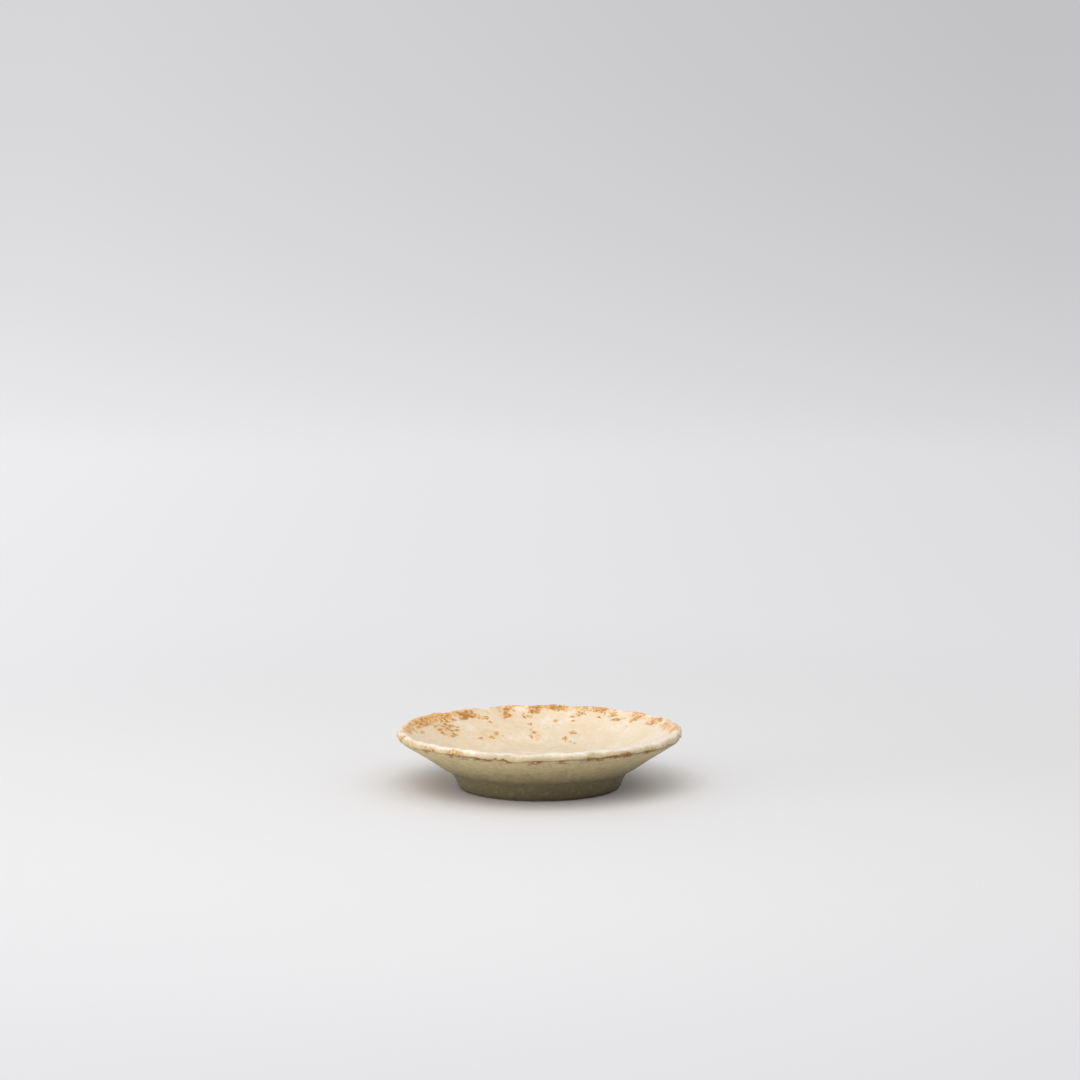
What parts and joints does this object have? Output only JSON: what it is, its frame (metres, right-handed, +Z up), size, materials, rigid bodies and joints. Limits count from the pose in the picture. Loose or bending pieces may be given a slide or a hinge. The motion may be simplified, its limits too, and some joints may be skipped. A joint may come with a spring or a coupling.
{
  "type": "soy sauce dish",
  "caption": "Small round stoneware dish with a scalloped, fluted rim on a foot ring, cream glaze inside and olive glaze outside; holds soy sauce or a condiment at table.",
  "frame": {"origin": "on the axis of the dish, in the plane of the foot ring's standing edge", "axes": "+Z up along the axis of the dish; +X to the right and +Y away from a viewer at the front, with the same scalloped form all round"},
  "size_m": [0.0899, 0.0898, 0.0188],
  "materials": {
    "clay": "matte",
    "inside_glaze": "satin",
    "outside_glaze": "satin"
  },
  "bodies": {
    "root": {"clay_dish": "clay", "slip_joint": "clay", "foot_ring": "clay", "inside_glaze": "inside_glaze", "outside_glaze": "outside_glaze", "foot_glaze": "outside_glaze", "base_glaze": "outside_glaze"}
  },
  "joints": []
}
